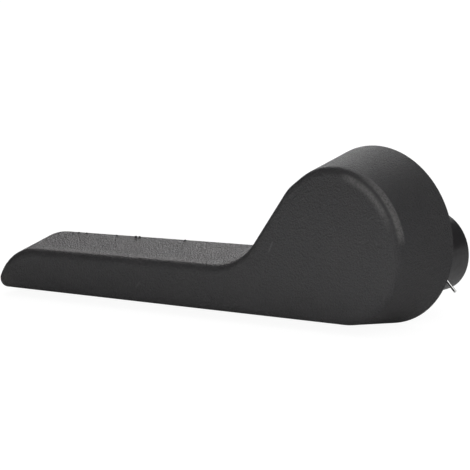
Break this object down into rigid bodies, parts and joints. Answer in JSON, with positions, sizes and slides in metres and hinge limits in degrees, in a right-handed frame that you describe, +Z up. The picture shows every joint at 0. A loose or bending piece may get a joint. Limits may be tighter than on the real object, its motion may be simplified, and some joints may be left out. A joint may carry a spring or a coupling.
{
  "type": "car seat recliner lever",
  "caption": "Moulded black recliner lever with a round head, a straight arm, a hollow ribbed back and a serrated socket boss held by a spring wire clip.",
  "frame": {"origin": "centre of the boss's mouth, on the axis of the seat's shaft", "axes": "+Y out of the mouth towards the seat, arm along -X, +Z up"},
  "size_m": [0.1866, 0.0543, 0.06],
  "materials": {
    "black_plastic": "fine moulded grain",
    "spring_wire": "bright drawn wire"
  },
  "bodies": {
    "root": {"lever": "black_plastic", "retaining_clip": "spring_wire"}
  },
  "joints": []
}
